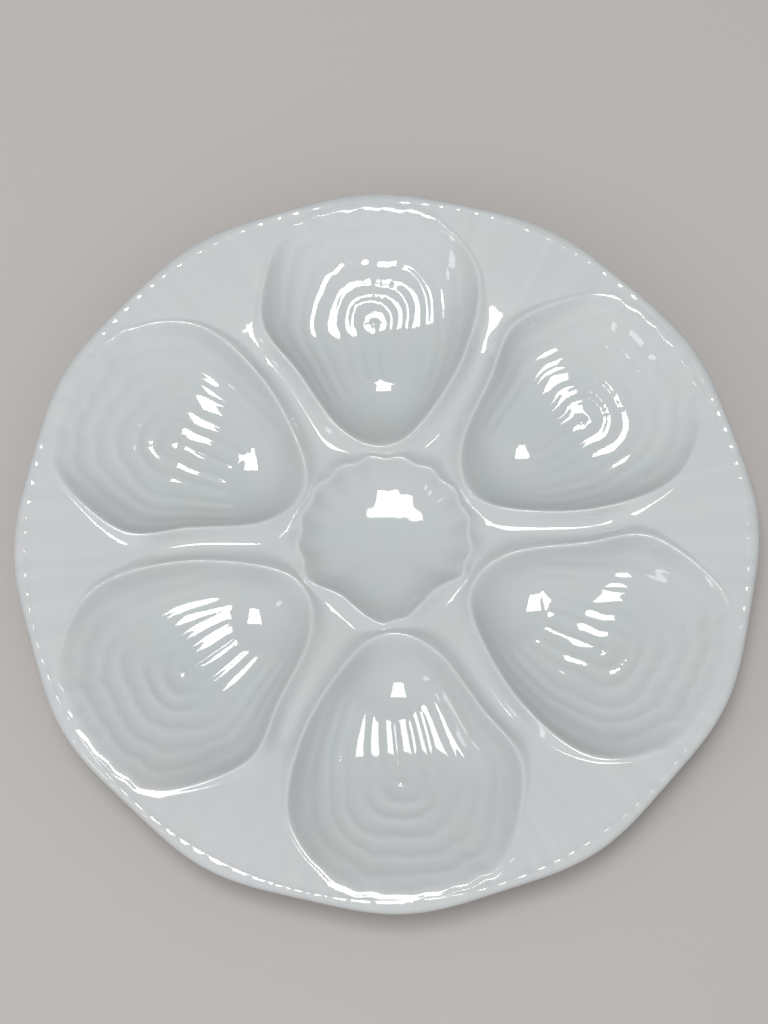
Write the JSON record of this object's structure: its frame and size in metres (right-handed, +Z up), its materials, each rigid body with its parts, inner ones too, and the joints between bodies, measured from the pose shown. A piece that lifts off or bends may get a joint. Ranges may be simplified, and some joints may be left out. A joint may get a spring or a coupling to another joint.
{
  "type": "oyster plate",
  "caption": "Round glazed porcelain plate with shell-shaped wells for oysters on the half shell, set around a small scalloped sauce well, on an unglazed foot ring.",
  "frame": {"origin": "the middle of the foot ring's sole, on the table", "axes": "+Z up along the plate's axis; -Y towards the pointed end of the sauce well; +X to the right of it"},
  "size_m": [0.2464, 0.2464, 0.027],
  "materials": {
    "glazed_porcelain": "clear glossy glaze over white porcelain",
    "bare_porcelain": "bare fired porcelain, smoothed and matt"
  },
  "bodies": {
    "root": {"plate_body": "glazed_porcelain", "oyster_well_1": "glazed_porcelain", "oyster_well_2": "glazed_porcelain", "oyster_well_3": "glazed_porcelain", "oyster_well_4": "glazed_porcelain", "oyster_well_5": "glazed_porcelain", "oyster_well_6": "glazed_porcelain", "sauce_well": "glazed_porcelain", "foot_ring": "bare_porcelain"}
  },
  "joints": []
}
